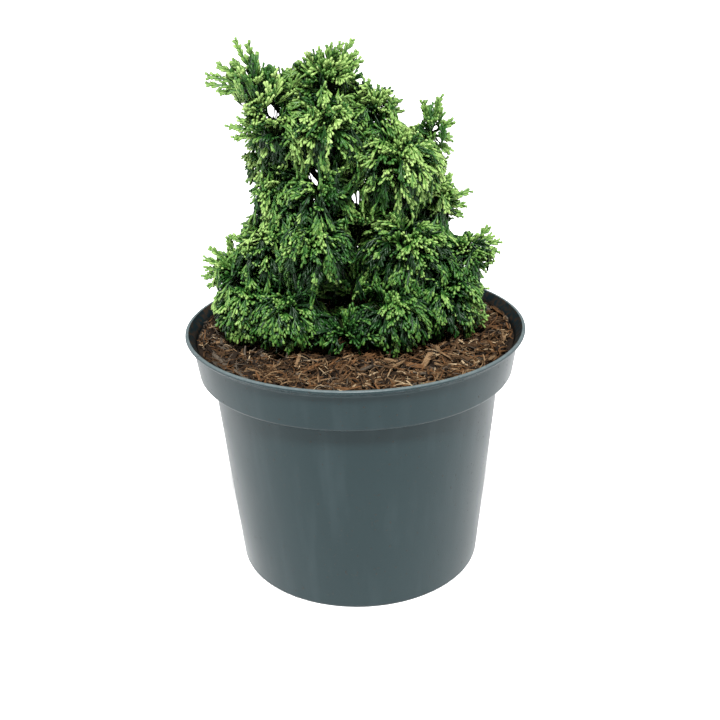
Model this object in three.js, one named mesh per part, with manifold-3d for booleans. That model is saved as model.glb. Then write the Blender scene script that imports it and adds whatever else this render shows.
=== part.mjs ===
// A dwarf hinoki cypress in its round nursery pot, in millimetres, +Z up.
// The origin is under the middle of the pot, on the surface that the pot stands on. The fuller face
// of the crown looks along -Y.
import * as THREE from 'three';
import { mergeVertices } from 'three/addons/utils/BufferGeometryUtils.js';
import Module from 'manifold-3d';

const wasm = await Module();
wasm.setup();

// ---------- Driving dimensions ----------

const seat = 0.3; // clearance between pieces that touch each other

const pot = {
  height: 143,
  rimRadius: 95, // outside of the rolled lip, the widest part
  lipHeight: 1.7,
  lipWidth: 1.9, // of the flat ring on top; from it the wall drops inwards in a short flare
  neckDrop: 2.7, // the slope under the lip, down to the band
  bandTopRadius: 91.4, // the upright band under the lip
  bandFootRadius: 88.6,
  bandFootHeight: 118.5,
  shoulderDrop: 1.6, // the slope under the band, where it steps in to the wall
  wallTopRadius: 81.4,
  footRadius: 71,
  wall: 1.8,
  footRingWidth: 8,
  floorBase: 3, // height of the underside inside the foot ring
  floor: 2.2,
  drainHoles: 8,
  drainRadius: 5,
  drainCircle: 46,
  segments: 36,
};

const soil = {
  top: 133.6, // level of the mulch where the trunk stands
  bank: 4.6, // how much higher it lies by the wall of the pot
  bankFoot: 60, // radius where it starts to rise
  flat: 13, // radius of the level spot round the trunk
  wave: 1.2, // how far the mulch rises and falls
  waveLength: 34,
  rings: 5,
  segments: 28,
};

const trunkFoot = new THREE.Vector3(0, 14, soil.top + seat);

const foliage = {
  heart: 0.52, // size of a mass's dense middle, as a share of the mass
  patch: 600, // square millimetres of a mass's outside for each spray
  sprayWidth: 0.68, // half the width of a full spray, as a share of its mass's mean size
  sprayThickness: 1.7,
  edgeDroop: 0.16, // how far a spray's sides hang below its rib, as a share of that size
  stemRadius: 1.9,
  overreach: 1.06, // how far teeth may pass a mass's outside, as a share of the mass
  parting: 0.5, // free space between two masses
  ground: 1.4, // free height over the mulch
};

// The sizes that a spray is tried at, reach first and then width, till one keeps to its mass's space.
const reaches = [1, 0.92, 0.84, 0.76, 0.68];
const widths = [1, 0.8, 0.6];

// A spray's rib runs from its mass's middle, bends over just under the mass's outside and ends there.
// Shares of the rib: where its twig starts and where the blade has its middle.
const rib = { foot: 0.1, bendUpright: 0.6, bendLevel: 0.92, hub: 0.66, root: 0.36 };

// Where a blade's teeth and notches stand round its middle: angle from the tip in degrees, and reach.
// The last of them are the blade's corners beside its twig.
const teeth = [
  { angle: 20, reach: 0.8 },
  { angle: 46, reach: 1 },
  { angle: 67, reach: 0.74 },
  { angle: 94, reach: 1 },
  { angle: 150, reach: 0.62 },
];

// A long shoot is slimmer, with fewer teeth: how far from its mass's middle it starts, how much it
// arches, and half its width.
const leaderShape = { foot: 2, arch: 0.1, width: 3.4 };
const leaderTeeth = [
  { angle: 38, reach: 0.95 },
  { angle: 60, reach: 0.6 },
  { angle: 100, reach: 1 },
];

const finishes = {
  plastic: { color: 0x4d585a, roughness: 0.42 },
  mulch: { color: 0x4a3122, roughness: 0.95 },
  bark: { color: 0x5f412b, roughness: 0.9 },
  leaf: { color: 0x4f8a35, roughness: 0.7 },
};

// ---------- Limbs: each a list of places from foot to tip, with its radii ----------

const up = new THREE.Vector3(0, 0, 1);
const at = (x, y, z) => new THREE.Vector3(x, y, z);

const stems = {
  trunk: {
    places: [
      trunkFoot,
      at(-1, 14, 150),
      at(-5, 15, 175),
      at(-10, 16, 200),
      at(-14, 15, 226),
      at(-13, 13, 262),
    ],
    footRadius: 6.4,
    tipRadius: 1.7,
    flare: 2.8, // how much wider the root flare is than the stem over it
    steps: 11,
    sides: 8,
  },
  right_stem: {
    places: [at(-1, 14, 150), at(9, 14, 163), at(22, 15, 186), at(33, 17, 212), at(43, 19, 238)],
    footRadius: 4.2,
    tipRadius: 1.5,
    flare: 0,
    steps: 8,
    sides: 7,
  },
};

// ---------- Foliage masses ----------
// For each: its name, the stem that bears it, how far up that stem its bough starts, the middle and
// size of the space that it keeps to, and how far its sprays arch over.

const masses = [
  ['top_left', 'trunk', 0.76, [-47, 5, 271], [19, 17, 21], -0.6],
  ['top_bridge', 'trunk', 0.88, [-34, 21, 262.5], [17, 16, 15], 0.2],
  ['crown', 'trunk', 1, [-12, 13, 271], [22, 18, 21], 0.1],
  ['left_shelf', 'trunk', 0.62, [-39, 1, 248], [18, 18, 19], 0.6],
  ['upper_front', 'trunk', 0.74, [-15, -6, 248], [21, 18, 23], 0.7],
  ['right_shoulder', 'trunk', 0.84, [13, 18, 252], [20, 19, 20], 0.5],
  ['right_horn', 'right_stem', 1, [43.5, 19, 243], [12, 13, 20], -0.3],
  ['right_mid', 'right_stem', 0.7, [24, 0, 228], [27, 20, 24], 0.7],
  ['right_outer', 'right_stem', 0.54, [45.5, 24, 202], [17, 20, 21], 0.7],
  ['left_flank', 'trunk', 0.46, [-38.5, 6, 212], [18, 20, 22], 0.7],
  ['waist_front', 'trunk', 0.52, [-18, -9, 217], [18, 16, 16], 0.5],
  ['front_left', 'trunk', 0.34, [-20, -15, 187], [21, 19, 25], 0.8],
  ['left_side', 'trunk', 0.3, [-45.5, 2, 184], [20, 21, 22.5], 0.7],
  ['left_tip', 'trunk', 0.22, [-64, 5, 172], [17, 19, 16], 0.2],
  ['low_left', 'trunk', 0.15, [-57, -3, 153], [23, 26, 22], 0.7],
  ['low_front_left', 'trunk', 0.08, [-35, -18, 150], [21, 21, 22], 0.8],
  ['low_front', 'trunk', 0.05, [-5, -21.5, 144], [20, 17, 13], 0.4],
  ['right_skirt', 'right_stem', 0.36, [29, -3, 184], [28, 21, 21], 0.6],
  ['right_tip', 'right_stem', 0.27, [61, 11, 176], [19, 20, 16], 0.4],
  ['low_front_right', 'right_stem', 0.1, [20, -20, 151.5], [24, 21, 24], 0.9],
  ['low_right', 'right_stem', 0.18, [50, -3, 153], [24, 23, 23], 0.8],
  ['heart', 'trunk', 0.6, [-6, 42, 224], [25, 20, 24], 0.5],
  ['back_top', 'trunk', 0.9, [-16, 42, 260], [25, 19, 21], 0.4],
  ['back_left_upper', 'trunk', 0.52, [-41, 38, 226], [22, 20, 25], 0.6],
  ['back_right_upper', 'right_stem', 0.78, [30, 42, 224], [23, 20, 26], 0.6],
  ['back_left', 'trunk', 0.24, [-43, 44, 176], [26, 24, 30], 0.7],
  ['back_middle', 'trunk', 0.28, [2, 52, 178], [26, 22, 32], 0.7],
  ['back_right', 'right_stem', 0.34, [44, 46, 174], [27, 24, 30], 0.7],
].map(([name, from, leaves, middle, size, droop]) => ({ name, from, leaves, middle, size, droop }));

// Long shoots that stand out of a mass, seen from the front: the way that each one points, in degrees
// up from +X, and its reach from the mass's middle.
const leaders = {
  top_left: [[114, 27], [101, 23.5], [132, 19.5], [149, 24.5], [165, 27.5], [174, 27.5], [184, 21], [93, 17]],
  top_bridge: [[90, 15], [114, 15], [66, 15]],
  crown: [[58, 26.5], [46, 23], [35, 22], [69, 22.5], [84, 20], [102, 18], [125, 17.5], [143, 18]],
  right_shoulder: [[100, 20.5], [65, 16], [19, 14.5]],
  left_shelf: [[169, 25], [183, 22.5], [156, 20]],
  right_horn: [[76, 20.5], [104, 17.5], [30, 13], [-12, 11], [-42, 14]],
  right_outer: [[76, 28.5], [62, 20], [22, 22], [2, 17.5], [-18, 16.5]],
  right_tip: [[50, 22], [36, 20], [23, 22], [10, 19.5], [-8, 17], [-28, 15]],
  low_right: [[23, 24], [-20, 26], [-29, 25]],
  left_tip: [[103, 20], [136, 20.5], [156, 20], [172, 18], [187, 19.5], [204, 19]],
  left_side: [[156, 23]],
};

// Ways through and into the crown that stay open, each a round bar of space from one place to another.
// The last four are hollows that end in the shade inside.
const gaps = [
  { from: [-18.5, -35, 233.3], to: [-23, 85, 207], radius: 2.8 },
  { from: [2.4, -35, 222.4], to: [3, 85, 193.4], radius: 2.4 },
  { from: [-36.9, -35, 266.3], to: [-46, 85, 248], radius: 2.8 },
  { from: [-34.5, -35, 296], to: [-42.5, 85, 285], radius: 9 },
  { from: [29, -35, 263.5], to: [36, 85, 244.5], radius: 7 },
  { from: [-65, -35, 299], to: [-81, 85, 289], radius: 13 },
  { from: [53, -35, 206], to: [66, 85, 173], radius: 4.2 },
  { from: [-59, -35, 250], to: [-74, 85, 228], radius: 4 },
  { from: [31.5, -35, 280], to: [38.5, 85, 265], radius: 12.5 },
  { from: [-59.5, -35, 267], to: [-73, 85, 249.5], radius: 6 },
  { from: [-12, -45, 173], to: [-13, -14, 161.5], radius: 8 },
  { from: [0, -45, 187], to: [0, -12, 174], radius: 5 },
  { from: [6, -45, 208], to: [6, -6, 196], radius: 4.5 },
  { from: [11, -45, 170], to: [10, -14, 160.5], radius: 4 },
];

// ---------- Seeded numbers and vectors ----------

// A small repeatable random source: the same seed always gives the same tree.
function seeded(seed) {
  let state = seed >>> 0;
  return () => {
    state = (state + 0x6d2b79f5) >>> 0;
    let t = state;
    t = Math.imul(t ^ (t >>> 15), t | 1);
    t ^= t + Math.imul(t ^ (t >>> 7), t | 61);
    return ((t ^ (t >>> 14)) >>> 0) / 4294967296;
  };
}

const vector = (list) => new THREE.Vector3(...list);
const mixed = (a, b, share) => a.clone().lerp(b, share);
const moved = (p, direction, by) => p.clone().addScaledVector(direction, by);

// ---------- Solids ----------

function solidOf(geometry) {
  const bare = geometry.index ? geometry.toNonIndexed() : geometry.clone();
  bare.deleteAttribute('normal');
  bare.deleteAttribute('uv');
  const merged = mergeVertices(bare, 1e-4);
  return new wasm.Manifold(
    new wasm.Mesh({
      numProp: 3,
      vertProperties: new Float32Array(merged.getAttribute('position').array),
      triVerts: new Uint32Array(merged.index.array),
    })
  );
}

function geometryOf(solid) {
  const mesh = solid.getMesh();
  const geometry = new THREE.BufferGeometry();
  geometry.setAttribute('position', new THREE.BufferAttribute(mesh.vertProperties, 3));
  geometry.setIndex(new THREE.BufferAttribute(mesh.triVerts, 1));
  geometry.computeVertexNormals();
  return geometry;
}

// The one largest body of a solid, with sealed hollows filled and loose scraps left out.
function wholeBody(solid) {
  const bodies = solid.decompose();
  return bodies.reduce((a, b) => (b.volume() > a.volume() ? b : a));
}

const touches = (a, b) => a.intersect(b).numTri() > 0;

// A closed tapering tube along a curve, radiusAt(0) wide at its foot and radiusAt(1) at its tip.
// A level foot is cut square to +Z, whichever way the curve leans there.
function limbGeometry(curve, radiusAt, sides, steps, levelFoot = false) {
  const tube = new THREE.CylinderGeometry(1, 1, 1, sides, steps);
  const position = tube.getAttribute('position');
  const across = new THREE.Vector3(0.2, 1, 0.1).normalize();
  const uprightShare = 0.15;
  for (let i = 0; i < position.count; i++) {
    const t = THREE.MathUtils.clamp(position.getY(i) + 0.5, 0, 1);
    const along = curve.getTangentAt(t);
    if (levelFoot) along.lerpVectors(up, along.clone(), Math.min(1, t / uprightShare)).normalize();
    const side = along.clone().cross(across).normalize();
    const other = side.clone().cross(along);
    const p = moved(curve.getPointAt(t), side, position.getX(i) * radiusAt(t));
    p.addScaledVector(other, position.getZ(i) * radiusAt(t));
    position.setXYZ(i, p.x, p.y, p.z);
  }
  return tube;
}

// ---------- Pot ----------

function potGeometry() {
  const { height: h, rimRadius: rim, lipHeight: lip } = pot;
  const { bandTopRadius: bandTop, bandFootRadius: bandFoot } = pot;
  const neck = h - lip - pot.neckDrop;
  const shoulder = pot.bandFootHeight - pot.shoulderDrop;
  const outside = [
    [0, pot.floorBase],
    [pot.footRadius - pot.footRingWidth, pot.floorBase],
    [pot.footRadius - pot.footRingWidth + 1, 0],
    [pot.footRadius - 1, 0],
    [pot.footRadius, 1.2],
    [pot.wallTopRadius, shoulder],
    [bandFoot, pot.bandFootHeight],
    [bandTop, neck],
    [rim - 0.3, h - lip],
    [rim, h - lip + 0.4],
    [rim, h - 0.5],
    [rim - 0.5, h],
    [rim - pot.lipWidth, h],
  ];
  const inside = [
    [bandTop - pot.wall, neck],
    [bandFoot - pot.wall, pot.bandFootHeight + pot.wall],
    [pot.wallTopRadius - pot.wall, shoulder + pot.wall],
    [pot.footRadius - pot.wall, pot.floorBase + pot.floor],
    [0, pot.floorBase + pot.floor],
  ];
  const profile = [...outside, ...inside].map(([r, z]) => new THREE.Vector2(r, z));
  const body = new THREE.LatheGeometry(profile, pot.segments).rotateX(Math.PI / 2);
  let solid = solidOf(body);
  for (let i = 0; i < pot.drainHoles; i++) {
    const angle = (i * 2 * Math.PI) / pot.drainHoles;
    const hole = new THREE.CylinderGeometry(pot.drainRadius, pot.drainRadius, 4 * pot.floor, 8);
    hole.rotateX(Math.PI / 2);
    hole.translate(pot.drainCircle * Math.cos(angle), pot.drainCircle * Math.sin(angle), pot.floorBase);
    solid = solid.subtract(solidOf(hole));
  }
  return geometryOf(solid);
}

// ---------- Soil and bark mulch ----------

// How high the mulch lies at a place: gentle waves round a level spot under the trunk, and a bank that
// rises to the wall of the pot.
function mulchHeight(x, y) {
  const k = (2 * Math.PI) / soil.waveLength;
  const bank = soil.bank * THREE.MathUtils.smoothstep(Math.hypot(x, y), soil.bankFoot, pot.bandFootRadius);
  const away = Math.hypot(x - trunkFoot.x, y - trunkFoot.y);
  const share = THREE.MathUtils.smoothstep(away, soil.flat, 2 * soil.flat);
  return soil.top + bank + share * soil.wave * (Math.sin(k * x + 0.7) * Math.cos(k * y) - 0.35);
}

function soilGeometry() {
  const ledgeTop = pot.bandFootHeight + pot.wall + seat;
  const floorTop = pot.floorBase + pot.floor + seat;
  const wallGap = pot.wall + 2 * seat;
  const edgeTop = soil.top + soil.bank - 1.5;
  const edgeRadius = pot.bandTopRadius - wallGap - 0.5;
  const profile = [
    [0, floorTop],
    [pot.footRadius - wallGap, floorTop],
    [pot.wallTopRadius - wallGap, ledgeTop - pot.shoulderDrop],
    [pot.bandFootRadius - wallGap, ledgeTop],
    [edgeRadius, edgeTop],
  ];
  for (let i = soil.rings - 1; i >= 0; i--) profile.push([(edgeRadius * i) / soil.rings, soil.top]);
  const points = profile.map(([r, z]) => new THREE.Vector2(r, z));
  const body = new THREE.LatheGeometry(points, soil.segments).rotateX(Math.PI / 2);
  const position = body.getAttribute('position');
  for (let i = 0; i < position.count; i++) {
    if (Math.abs(position.getZ(i) - soil.top) < 0.1) {
      position.setZ(i, mulchHeight(position.getX(i), position.getY(i)));
    }
  }
  return geometryOf(solidOf(body));
}

// ---------- Trunk and boughs ----------

for (const stem of Object.values(stems)) {
  stem.curve = new THREE.CatmullRomCurve3(stem.places);
  stem.radiusAt = (t) =>
    THREE.MathUtils.lerp(stem.footRadius, stem.tipRadius, Math.pow(t, 0.8)) +
    stem.flare * Math.exp(-t * 22);
}

function stemSolid(stem, extra = 0) {
  const levelFoot = stem.flare > 0;
  const radiusAt = (t) => stem.radiusAt(t) + extra;
  return solidOf(limbGeometry(stem.curve, radiusAt, stem.sides, stem.steps, levelFoot));
}

const boughShape = { footShare: 0.55, taper: 0.6, least: 7, arch: 0.12, sides: 5, steps: 3, enters: 0.8 };

// Gives a mass the line that carries it: a bough from its stem to the edge of its space,
// or only a short stem of its own where the space already holds the stem.
function carry(mass) {
  const bearer = stems[mass.from];
  mass.centre = vector(mass.middle);
  const start = bearer.curve.getPointAt(mass.leaves);
  const line = mass.centre.clone().sub(start);
  const toward = line.clone().normalize();
  const reach = boughShape.enters / toward.clone().divide(vector(mass.size)).length();
  const length = line.length() - reach;
  const radius = bearer.radiusAt(mass.leaves) * boughShape.footShare + 0.5;
  const clear = bearer.radiusAt(mass.leaves) + seat;
  if (length > clear + boughShape.least) {
    const end = moved(start, toward, length);
    const bend = moved(mixed(start, end, 0.5), up, length * boughShape.arch);
    mass.bough = {
      name: `${mass.name}_bough`,
      curve: new THREE.QuadraticBezierCurve3(start, bend, end),
      radiusAt: (t) => radius * (1 - (1 - boughShape.taper) * t),
    };
    mass.stemStart = moved(end, mass.bough.curve.getTangentAt(1), seat);
  } else {
    mass.stemStart = start;
  }
}

masses.forEach(carry);
const boughs = masses.filter((mass) => mass.bough).map((mass) => mass.bough);

function boughSolid(bough, extra = 0) {
  const radiusAt = (t) => bough.radiusAt(t) + extra;
  return solidOf(limbGeometry(bough.curve, radiusAt, boughShape.sides, boughShape.steps));
}

// ---------- Spaces of the masses ----------

const reachAlong = (mass, direction) =>
  foliage.overreach * direction.clone().multiply(vector(mass.size)).length();

// The flat partings between a mass and each neighbour that it would otherwise run into.
function partingsOf(mass) {
  const found = [];
  for (const other of masses) {
    if (other === mass) continue;
    const line = other.centre.clone().sub(mass.centre);
    const distance = line.length();
    const normal = line.normalize();
    const own = reachAlong(mass, normal);
    const theirs = reachAlong(other, normal);
    if (own + theirs < distance) continue;
    const place = moved(mass.centre, normal, (distance * own) / (own + theirs) - foliage.parting / 2);
    found.push({ normal, offset: normal.dot(place) });
  }
  return found;
}

const gapLines = gaps.map(({ from, to, radius }) => {
  return { line: new THREE.Line3(vector(from), vector(to)), radius };
});

const distanceTo = (line, p) => line.closestPointToPoint(p, true, new THREE.Vector3()).distanceTo(p);

const inGap = (p) => gapLines.some(({ line, radius }) => distanceTo(line, p) < radius);

// How far out a place lies, as a share of a mass's size.
const shareOf = (mass, p) => p.clone().sub(mass.centre).divide(vector(mass.size)).length();

const overMulch = (p) => p.z > mulchHeight(p.x, p.y) + foliage.ground;

const inParting = (mass, p) => mass.partings.every(({ normal, offset }) => normal.dot(p) <= offset);

const inSpace = (mass, p) =>
  shareOf(mass, p) <= foliage.overreach && overMulch(p) && !inGap(p) && inParting(mass, p);

// A long shoot runs on through the open air outside every other mass's space.
const inReach = (mass, p) =>
  overMulch(p) &&
  (shareOf(mass, p) <= foliage.overreach
    ? inParting(mass, p)
    : masses.every((other) => other === mass || shareOf(other, p) > foliage.overreach));

for (const mass of masses) {
  mass.mean = (mass.size[0] + mass.size[1] + mass.size[2]) / 3;
  mass.partings = partingsOf(mass);
}

// ---------- Sprays ----------

const goldenAngle = Math.PI * (3 - Math.sqrt(5));

// The sprays that a mass tries to grow: their ribs run from its middle out to its edge, even on all
// sides, and arch over as they go.
function spraysOf(mass, index) {
  const random = seeded(1000 + index);
  const [a, b, c] = mass.size;
  const p = 1.6;
  const mean = ((a * b) ** p + (a * c) ** p + (b * c) ** p) / 3;
  const count = Math.round((4 * Math.PI * mean ** (1 / p)) / foliage.patch);
  const sprays = [];
  for (let i = 0; i < count; i++) {
    const turn = i * goldenAngle + index + 0.5 * (random() - 0.5);
    const height = 1 - (2 * i + 1) / count + 0.12 * (random() - 0.5);
    const level = Math.sqrt(Math.max(0, 1 - height * height));
    const direction = at(level * Math.cos(turn), level * Math.sin(turn), height).normalize();
    const reach = 0.95 + 0.08 * random();
    const width = foliage.sprayWidth * mass.mean * (0.85 + 0.3 * random());
    const roll = 0.5 * (random() - 0.5);
    sprays.push({ direction, reach, width, roll });
  }
  return sprays;
}

// A spray's rib at one of the sizes it is tried at, with the way that its blade spreads.
function ribOf(mass, spray, shrink, narrow) {
  const size = vector(mass.size);
  const place = (direction, share) => moved(mass.centre, direction.clone().multiply(size), share);
  const raised = moved(spray.direction, up, mass.droop).normalize();
  const level = Math.hypot(spray.direction.x, spray.direction.y);
  const bendShare = THREE.MathUtils.lerp(rib.bendUpright, rib.bendLevel, level);
  const curve = new THREE.QuadraticBezierCurve3(
    place(spray.direction, rib.foot),
    place(raised, bendShare * shrink),
    place(spray.direction, spray.reach * shrink)
  );
  const outward = curve.getPoint(rib.hub).sub(mass.centre).divide(size).divide(size).normalize();
  const along = curve.getTangent(rib.hub);
  const side = along.clone().cross(outward).normalize().applyAxisAngle(along, spray.roll);
  return { curve, side, width: spray.width * shrink * narrow, droop: foliage.edgeDroop * mass.mean };
}

// The line of a long shoot, a little arched, with its blade facing the front.
function leaderOf(mass, [angle, reach], shrink) {
  const turn = THREE.MathUtils.degToRad(angle);
  const along = at(Math.cos(turn), 0, Math.sin(turn));
  const tip = moved(mass.centre, along, reach * shrink);
  const bend = moved(mixed(mass.centre, tip, 0.5), up, leaderShape.arch * reach);
  const curve = new THREE.QuadraticBezierCurve3(moved(mass.centre, along, leaderShape.foot), bend, tip);
  return { curve, side: at(along.z, 0, -along.x), width: leaderShape.width, droop: 0 };
}

// The place on a spray's blade at an angle from its tip and a share of its reach.
function bladePlace({ curve, side, width, droop }, angle, reach) {
  const ahead = Math.cos(angle);
  const t = rib.hub + reach * ahead * (ahead > 0 ? 1 - rib.hub : rib.hub - rib.root);
  const normal = side.clone().cross(curve.getTangent(t)).normalize();
  const sideways = Math.sin(angle) * reach;
  const p = moved(curve.getPoint(t), side, sideways * width);
  return { place: p.addScaledVector(normal, -droop * sideways * sideways), normal };
}

// The toothed outline of a spray, from its tip down one side to the foot of its twig and up the other.
function bladeOutline(line, along) {
  const toothOf = (sign, { angle, reach }) =>
    bladePlace(line, sign * THREE.MathUtils.degToRad(angle), reach).place;
  const sideOf = (sign) => along.map((tooth) => toothOf(sign, tooth));
  return [line.curve.getPoint(1), ...sideOf(1), line.curve.getPoint(0), ...sideOf(-1).reverse()];
}

// A blade and its twig, thickest in the blade's middle and thinner out to the toothed edge.
function bladeSolid(line, outline) {
  const { place, normal } = bladePlace(line, 0, 0);
  const over = moved(place, normal, foliage.sprayThickness / 2);
  const under = moved(place, normal, -foliage.sprayThickness / 2);
  const corners = [];
  outline.forEach((p, i) => {
    const next = outline[(i + 1) % outline.length];
    corners.push(over, next, p, under, p, next);
  });
  return solidOf(new THREE.BufferGeometry().setFromPoints(corners));
}

// ---------- One mass: a stem, a dense heart, and the sprays that stand out of it ----------

// The first length of a long shoot that keeps clear of the limbs and of the other masses.
function fittedLeader(mass, leader, limbs) {
  for (const shrink of reaches) {
    const line = leaderOf(mass, leader, shrink);
    const outline = bladeOutline(line, leaderTeeth);
    if (!outline.every((p) => inReach(mass, p))) continue;
    const blade = bladeSolid(line, outline);
    if (!touches(blade, limbs)) return [blade];
  }
  return [];
}

// The first size of a spray that keeps to its mass's space and clear of the limbs.
function fittedSpray(mass, spray, limbs) {
  for (const reach of reaches) {
    for (const width of widths) {
      const line = ribOf(mass, spray, reach, width);
      const outline = bladeOutline(line, teeth);
      if (!outline.every((p) => inSpace(mass, p))) continue;
      const blade = bladeSolid(line, outline);
      if (!touches(blade, limbs)) return [blade];
    }
  }
  return [];
}

function heartSolid(mass, random) {
  const ball = new THREE.OctahedronGeometry(1, 1);
  const lump = mergeVertices(ball.deleteAttribute('normal').deleteAttribute('uv'));
  const position = lump.getAttribute('position');
  for (let i = 0; i < position.count; i++) {
    const p = new THREE.Vector3().fromBufferAttribute(position, i).multiplyScalar(0.86 + 0.24 * random());
    position.setXYZ(i, p.x, p.y, p.z);
  }
  lump.scale(...mass.size.map((radius) => radius * foliage.heart));
  return solidOf(lump.translate(...mass.middle));
}

function massGeometry(mass, index, limbs) {
  const inward = mass.centre.clone().sub(mass.stemStart).normalize();
  const stem = new THREE.LineCurve3(mass.stemStart, moved(mass.centre, inward, 2));
  const stemRadius = (t) => foliage.stemRadius * (1 - 0.4 * t);
  const pieces = [heartSolid(mass, seeded(500 + index)), solidOf(limbGeometry(stem, stemRadius, 3, 1))];
  const sprays = spraysOf(mass, index).flatMap((spray) => fittedSpray(mass, spray, limbs));
  const shoots = (leaders[mass.name] ?? []).flatMap((leader) => fittedLeader(mass, leader, limbs));
  return geometryOf(wholeBody(wasm.Manifold.union([...pieces, ...sprays, ...shoots]).subtract(limbs)));
}

// ---------- The whole plant ----------

const cypress = new THREE.Group();

function add(name, geometry, finish) {
  const mesh = new THREE.Mesh(geometry, new THREE.MeshStandardMaterial({ ...finish, metalness: 0 }));
  mesh.name = name;
  cypress.add(mesh);
}

add('pot', potGeometry(), finishes.plastic);
add('soil', soilGeometry(), finishes.mulch);

const trunk = stemSolid(stems.trunk);
const trunkClear = stemSolid(stems.trunk, seat);
const rightStem = stemSolid(stems.right_stem).subtract(trunkClear);
const stemsClear = trunkClear.add(stemSolid(stems.right_stem, seat));
add('trunk', geometryOf(trunk), finishes.bark);
add('right_stem', geometryOf(wholeBody(rightStem)), finishes.bark);

let limbs = stemsClear;
for (const bough of boughs) {
  add(bough.name, geometryOf(wholeBody(boughSolid(bough).subtract(limbs))), finishes.bark);
  limbs = limbs.add(boughSolid(bough, seat));
}
masses.forEach((mass, index) => {
  add(`${mass.name}_mass`, massGeometry(mass, index, limbs), finishes.leaf);
});

export default cypress;
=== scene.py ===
# A dwarf hinoki cypress in its nursery pot: bark, scale-leaf sprays, bark mulch and moulded plastic,
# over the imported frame. Every length is written in millimetres and becomes metres in a mesh.
import math

import bmesh
import bpy
import numpy as np
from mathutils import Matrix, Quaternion, Vector


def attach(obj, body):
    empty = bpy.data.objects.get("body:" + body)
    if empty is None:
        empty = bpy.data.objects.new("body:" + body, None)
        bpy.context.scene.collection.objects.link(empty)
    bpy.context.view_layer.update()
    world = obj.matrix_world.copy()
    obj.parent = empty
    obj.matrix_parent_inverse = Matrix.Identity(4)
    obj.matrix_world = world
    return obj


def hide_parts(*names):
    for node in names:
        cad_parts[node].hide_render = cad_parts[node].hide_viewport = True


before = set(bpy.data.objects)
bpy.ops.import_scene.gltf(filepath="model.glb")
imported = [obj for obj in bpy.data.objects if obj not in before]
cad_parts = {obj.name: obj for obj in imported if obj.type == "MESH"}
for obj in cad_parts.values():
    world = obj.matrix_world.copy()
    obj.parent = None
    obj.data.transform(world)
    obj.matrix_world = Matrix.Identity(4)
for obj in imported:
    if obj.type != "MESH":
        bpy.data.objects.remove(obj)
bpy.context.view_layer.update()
mm = 0.001
print("frame loaded")


# a socket to reckon with: each operator on it adds its Math node
class Wire:
    def __init__(self, finish, socket):
        self.finish = finish
        self.socket = socket

    def __add__(self, other):
        return self.finish.maths("ADD", self, other)

    def __radd__(self, other):
        return self.finish.maths("ADD", other, self)

    def __sub__(self, other):
        return self.finish.maths("SUBTRACT", self, other)

    def __rsub__(self, other):
        return self.finish.maths("SUBTRACT", other, self)

    def __mul__(self, other):
        return self.finish.maths("MULTIPLY", self, other)

    def __rmul__(self, other):
        return self.finish.maths("MULTIPLY", other, self)


# one material, built up node by node
class Finish:
    def __init__(self, name):
        self.material = bpy.data.materials.new(name)
        self.material.use_nodes = True
        self.tree = self.material.node_tree
        self.tree.nodes.clear()

    # settings are set before the sockets; "stops" fills a colour ramp with (place, grey) pairs
    def node(self, kind, settings=None, sockets=None, output=0):
        made = self.tree.nodes.new(kind)
        for key, value in (settings or {}).items():
            if key == "stops":
                for i, (place, grey) in enumerate(value):
                    stop = made.color_ramp.elements[i] if i < 2 else made.color_ramp.elements.new(place)
                    stop.position = place
                    stop.color = (grey, grey, grey, 1)
            else:
                setattr(made, key, value)
        for key, value in (sockets or {}).items():
            if isinstance(value, Wire):
                self.tree.links.new(value.socket, made.inputs[key])
            else:
                made.inputs[key].default_value = value
        return Wire(self, made.outputs[output])

    def maths(self, operation, first, second):
        return self.node("ShaderNodeMath", {"operation": operation}, {0: first, 1: second})

    # two colours by a share: a Mix node takes them at sockets 6 and 7 and gives the result at 2
    def mix(self, share, first, second):
        sockets = {0: share, 6: first, 7: second}
        return self.node("ShaderNodeMix", {"data_type": "RGBA"}, sockets, 2)

    # the place on the piece, in metres
    def place(self):
        return self.node("ShaderNodeTexCoord", output=3)

    # a noise with its own grain size in millimetres, stretched by the three shares
    def noise(self, grain, detail=2.0, stretch=(1, 1, 1)):
        scaled = self.node("ShaderNodeMapping", sockets={"Vector": self.place(), "Scale": stretch})
        sockets = {"Vector": scaled, "Scale": 1 / (grain * mm), "Detail": detail}
        return self.node("ShaderNodeTexNoise", sockets=sockets)

    def ramp(self, value, *stops):
        return self.node("ShaderNodeValToRGB", {"stops": stops}, {"Fac": value})

    def bump(self, height, depth):
        sockets = {"Height": height, "Distance": depth * mm, "Strength": 1.0}
        return self.node("ShaderNodeBump", sockets=sockets)

    def surface(self, sockets):
        shader = self.node("ShaderNodeBsdfPrincipled", sockets=sockets)
        output = self.tree.nodes.new("ShaderNodeOutputMaterial")
        self.tree.links.new(shader.socket, output.inputs["Surface"])
        return self.material


def rgb(red, green, blue):
    return (red, green, blue, 1.0)


def linked(name, data):
    made = bpy.data.objects.new(name, data)
    bpy.context.scene.collection.objects.link(made)
    return made


# a piece from points in millimetres and faces of one number of corners; tones pick each face's material
def newPiece(name, points, faces, materials, tones=None, smooth=True):
    mesh = bpy.data.meshes.new(name)
    corners = faces.shape[1]
    mesh.vertices.add(len(points))
    mesh.vertices.foreach_set("co", np.asarray(points, np.float32).ravel() * mm)
    mesh.loops.add(faces.size)
    mesh.loops.foreach_set("vertex_index", np.asarray(faces, np.int32).ravel())
    mesh.polygons.add(len(faces))
    mesh.polygons.foreach_set("loop_start", np.arange(0, faces.size, corners, dtype=np.int32))
    for material in materials:
        mesh.materials.append(material)
    if tones is not None:
        mesh.polygons.foreach_set("material_index", np.asarray(tones, np.int32))
    mesh.polygons.foreach_set("use_smooth", np.full(len(faces), smooth))
    mesh.update(calc_edges=True)
    return linked(name, mesh)


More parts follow.
